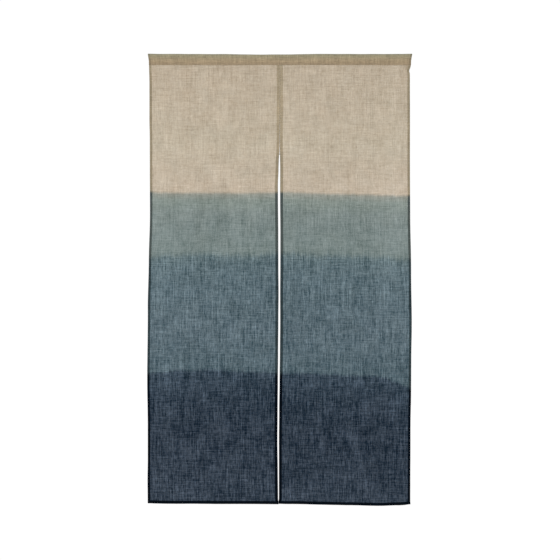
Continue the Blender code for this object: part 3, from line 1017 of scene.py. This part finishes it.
def naturalLinen():
    look = headingColour
    material, tree, shader, flat, cloth = startLinen("linenNatural", 0.9, linenLook["headingRelief"])
    where = addNode(tree, "TexCoord", {}).outputs["Object"]
    drop = mathNode(tree, "MULTIPLY", partsOf(tree, where)["Z"], -1.0)
    # Painted light and shade down the strip, from the rows above.
    base = bandRamp(tree, drop, dict(open=0.0, rows=look["rows"]))
    cloud = clothNoise(tree, flat, *look["cloudCells"], 2.0, 14.0)
    slub = mathNode(tree, "ADD", cloth["Warp"], cloth["Weft"])
    # Tone from the painted shade between the yarns, with slubs, clouds and painted light on the yarns' tops.
    tone = timesPlus(tree, slub, look["streak"], linenLook["yarnDark"])
    tone = timesPlus(tree, cloud, look["cloud"], tone)
    tone = timesPlus(tree, cloth["Yarn"], linenLook["yarnLift"], tone)
    # Painted shade at the turned-in ends, where the layers let less light through.
    fromMiddle = mathNode(tree, "SUBTRACT", partsOf(tree, flat)["X"], headingLook["flatShift"])
    endStart = (headingLook["halfWidth"] - look["endWidth"]) * mm
    ends = softStep(tree, mathNode(tree, "ABSOLUTE", fromMiddle), endStart - look["endFade"] * mm, endStart)
    tone = mathNode(tree, "MULTIPLY", tone, timesPlus(tree, ends, look["endShade"] - 1, 1.0))
    paint(tree, shader, base, tone)
    return material


# Sewing thread, with noise in fine cells as its twist. The panels' thread was dipped with them, so it takes
# their folded colours, and the heading's is plain.
def sewingThread(name, dipped):
    material, tree, shader = newMaterial(name, 0.62)
    where = addNode(tree, "TexCoord", {}).outputs["Object"]
    twist = clothNoise(tree, where, threadLook["twistCells"], threadLook["twistCells"], 1.0, 5.0)
    base = placeDye(tree, where, {})["Folded"] if dipped else coveredColour(threadLook["plainColour"], 0.0)
    paint(tree, shader, base, timesPlus(tree, twist, 0.5, 0.9))
    return material


sheerLinen, foldedLinen = dyedLinen("linenSheer", True), dyedLinen("linenFolded", False)
headingLinen = naturalLinen()
dippedThread, plainThread = sewingThread("threadDipped", True), sewingThread("threadNatural", False)
print("materials made")

heading, headingSize = headingStrip()
heading.data.materials.append(headingLinen)
headingStitches = headingThread()
headingStitches.data.materials.append(plainThread)
for piece in (heading, headingStitches):
    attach(piece, "root")
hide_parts("heading")
print("heading made")

joining = seamThread()
joining.data.materials.append(dippedThread)
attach(joining, "root")
for side, node in ((-1, "panel_left"), (1, "panel_right")):
    cloth, clothSize = panelCloth(side)
    cloth.data.materials.append(sheerLinen)
    cloth.data.materials.append(foldedLinen)
    stitches = panelThread(side)
    stitches.data.materials.append(dippedThread)
    for piece in (cloth, stitches):
        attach(piece, "root")
    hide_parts(node)
    print(f"{cloth.name} made")


studio = dict(
    pixels=560,
    metresPerPixel=0.003332,
    hangsAt=(279.97, 53.8),  # where the photograph shows the middle of the top edge
    distance=5.2,
    floorDrop=1.95,
    floorRadius=1.30,
    floorFade=(0.45, 0.98),  # shares of the radius between which it fades away
    lampsAimAt=(0.0, 0.0, -0.75),
    skyLight=0.52,
    skySeen=0.50,  # added where the camera sees the sky
)


def placeCamera():
    look = studio
    camera = bpy.data.cameras.new("camera")
    camera.sensor_width = 36.0
    camera.lens = camera.sensor_width * look["distance"] / (look["pixels"] * look["metresPerPixel"])
    holder = placeObject("camera", camera)
    middle = look["pixels"] / 2
    x = (middle - look["hangsAt"][0]) * look["metresPerPixel"]
    z = -(middle - look["hangsAt"][1]) * look["metresPerPixel"]
    holder.location = (x, -look["distance"], z)
    holder.rotation_euler = (math.pi / 2, 0, 0)
    bpy.context.scene.camera = holder


# A pale round floor that fades away at its rim: rings of points about its middle.
def layFloor():
    look = studio
    rings, around = np.linspace(0, 1, 25)[:, None], np.linspace(0, 2 * np.pi, 97)[None]
    x, y = look["floorRadius"] * rings * np.cos(around), look["floorRadius"] * rings * np.sin(around)
    points = np.stack([x, y, -look["floorDrop"] + 0 * x], axis=-1)
    floor = gridMesh("floor", points, np.stack([x, y], axis=-1))
    material, tree, shader = newMaterial("floorPale", 0.75)
    shader.inputs["Base Color"].default_value = (0.86, 0.86, 0.85, 1.0)
    where = addNode(tree, "TexCoord", {}).outputs["Object"]
    level = addNode(tree, "VectorMath", {0: where, 1: (1.0, 1.0, 0.0)}, operation="MULTIPLY")
    length = addNode(tree, "VectorMath", {0: level.outputs[0]}, operation="LENGTH").outputs["Value"]
    full, gone = (look["floorRadius"] * share for share in look["floorFade"])
    fade = softStep(tree, length, gone, full)
    tree.links.new(fade, shader.inputs["Alpha"])
    floor.data.materials.append(material)


# Name, position, size and power of each soft lamp, all aimed at the curtain's middle.
lamps = [
    ("keyLamp", (-2.3, -3.4, 0.9), 2.4, 84),
    ("fillLamp", (2.8, -3.2, -0.4), 2.4, 46),
    ("backLamp", (0.6, 3.6, 0.4), 2.6, 60),
]


def lightStudio():
    for name, place, size, power in lamps:
        lamp = bpy.data.lights.new(name, "AREA")
        lamp.shape = "SQUARE"
        lamp.size = size
        lamp.energy = power
        holder = placeObject(name, lamp)
        holder.location = place
        aim = np.array(studio["lampsAimAt"]) - np.array(place)
        holder.rotation_euler = (
            math.atan2(math.hypot(aim[0], aim[1]), -aim[2]), 0.0, math.atan2(-aim[0], aim[1]),
        )
    world = bpy.data.worlds.new("paleRoom")
    world.use_nodes = True
    tree = world.node_tree
    back = tree.nodes["Background"]
    back.inputs["Color"].default_value = (1.0, 1.0, 1.0, 1.0)
    seen = addNode(tree, "LightPath", {}).outputs["Is Camera Ray"]
    strength = timesPlus(tree, seen, studio["skySeen"], studio["skyLight"])
    tree.links.new(strength, back.inputs["Strength"])
    bpy.context.scene.world = world


placeCamera()
layFloor()
lightStudio()
bpy.context.scene.view_settings.view_transform = "Standard"
print("studio lit")
